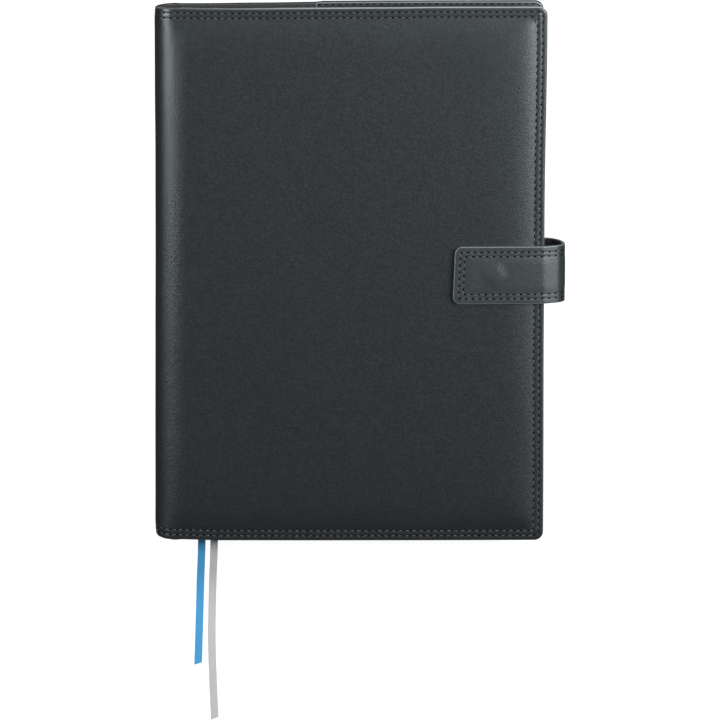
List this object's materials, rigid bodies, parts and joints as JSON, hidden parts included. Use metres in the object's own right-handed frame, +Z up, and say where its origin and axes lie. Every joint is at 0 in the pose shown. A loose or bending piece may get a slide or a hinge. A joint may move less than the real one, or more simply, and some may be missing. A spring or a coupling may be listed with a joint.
{
  "type": "leather notebook cover",
  "caption": "Refillable notebook cover in padded dark leather with a rounded spine, double stitched edges, a magnetic closing strap and ribbon markers.",
  "frame": {"origin": "Centre of the underside of the closed cover, on the table it lies on.", "axes": "+X from the spine to the fore edge, +Y from the tail to the head, +Z up through the closed cover."},
  "size_m": [0.1816, 0.3263, 0.0253],
  "materials": {
    "outer_leather": "smooth, fine grain",
    "sleeve_leather": "smooth, fine grain",
    "strap_leather": "smooth, fine grain",
    "lining_cloth": "woven",
    "thread": "waxed thread",
    "foam": "soft foam",
    "board": "grey board",
    "card": "matt card",
    "paper": "uncoated",
    "magnet": "nickel plated",
    "ribbon_blue": "satin ribbon",
    "ribbon_grey": "satin ribbon"
  },
  "bodies": {
    "back_cover": {"back_outer_leather": "outer_leather", "back_foam_pad": "foam", "back_board": "board", "back_lining": "lining_cloth", "back_sleeve": "sleeve_leather", "back_stitching": "thread", "back_sleeve_stitching": "thread", "insert_back_card": "card", "strap_root_outer": "strap_leather", "strap_root_inner": "strap_leather"},
    "spine": {"spine_leather": "outer_leather", "spine_lining": "lining_cloth", "insert_spine_card": "card", "spine_back_bend": "outer_leather", "spine_front_bend": "outer_leather"},
    "front_cover": {"front_outer_leather": "outer_leather", "front_foam_pad": "foam", "front_board": "board", "front_lining": "lining_cloth", "front_sleeve": "sleeve_leather", "front_stitching": "thread", "front_sleeve_stitching": "thread", "front_magnet": "magnet", "insert_front_card": "card"},
    "page_block": {"pages_lower": "paper", "ribbon_blue": "ribbon_blue", "ribbon_grey": "ribbon_grey"},
    "page_turn": {"pages_upper": "paper"},
    "strap": {"strap_lower_bend_outer": "strap_leather", "strap_lower_bend_inner": "strap_leather", "strap_side_outer": "strap_leather", "strap_side_inner": "strap_leather", "strap_upper_bend_outer": "strap_leather", "strap_upper_bend_inner": "strap_leather"},
    "tab": {"strap_tab_outer": "strap_leather", "strap_tab_inner": "strap_leather", "strap_magnet": "magnet", "strap_stitching": "thread"}
  },
  "joints": [
    {"name": "cover_open", "type": "hinge", "parent": "back_cover", "child": "spine", "pos_m": [-0.08837, 0, 0.00238], "axis": [0, -1, 0], "range_deg": [0, 90], "deforming": ["spine_back_bend"]},
    {"name": "front_fold", "type": "hinge", "parent": "spine", "child": "front_cover", "pos_m": [-0.08837, 0, 0.01962], "axis": [0, -1, 0], "range_deg": [0, 90], "deforming": ["spine_front_bend"]},
    {"name": "page_draw", "type": "slide", "parent": "back_cover", "child": "page_block", "axis": [-1, 0, 0], "range_m": [0, 0.0105]},
    {"name": "page_turn_over", "type": "hinge", "parent": "page_block", "child": "page_turn", "pos_m": [-0.08575, 0, 0.011], "axis": [0, -1, 0], "range_deg": [0, 180]},
    {"name": "strap_swing", "type": "hinge", "parent": "back_cover", "child": "strap", "pos_m": [0.08858, 0, 0.00337], "axis": [0, 1, 0], "range_deg": [0, 90], "deforming": ["strap_lower_bend_outer", "strap_lower_bend_inner"]},
    {"name": "tab_lift", "type": "hinge", "parent": "strap", "child": "tab", "pos_m": [0.08836, 0, 0.02211], "axis": [0, 1, 0], "range_deg": [0, 90], "deforming": ["strap_upper_bend_outer", "strap_upper_bend_inner"]}
  ],
  "couplings": [
    {"joint": "front_fold", "follows": "cover_open", "ratio": 1},
    {"joint": "page_draw", "follows": "cover_open", "m_per_rad": 0.006684},
    {"joint": "page_turn_over", "follows": "cover_open", "ratio": 2}
  ]
}
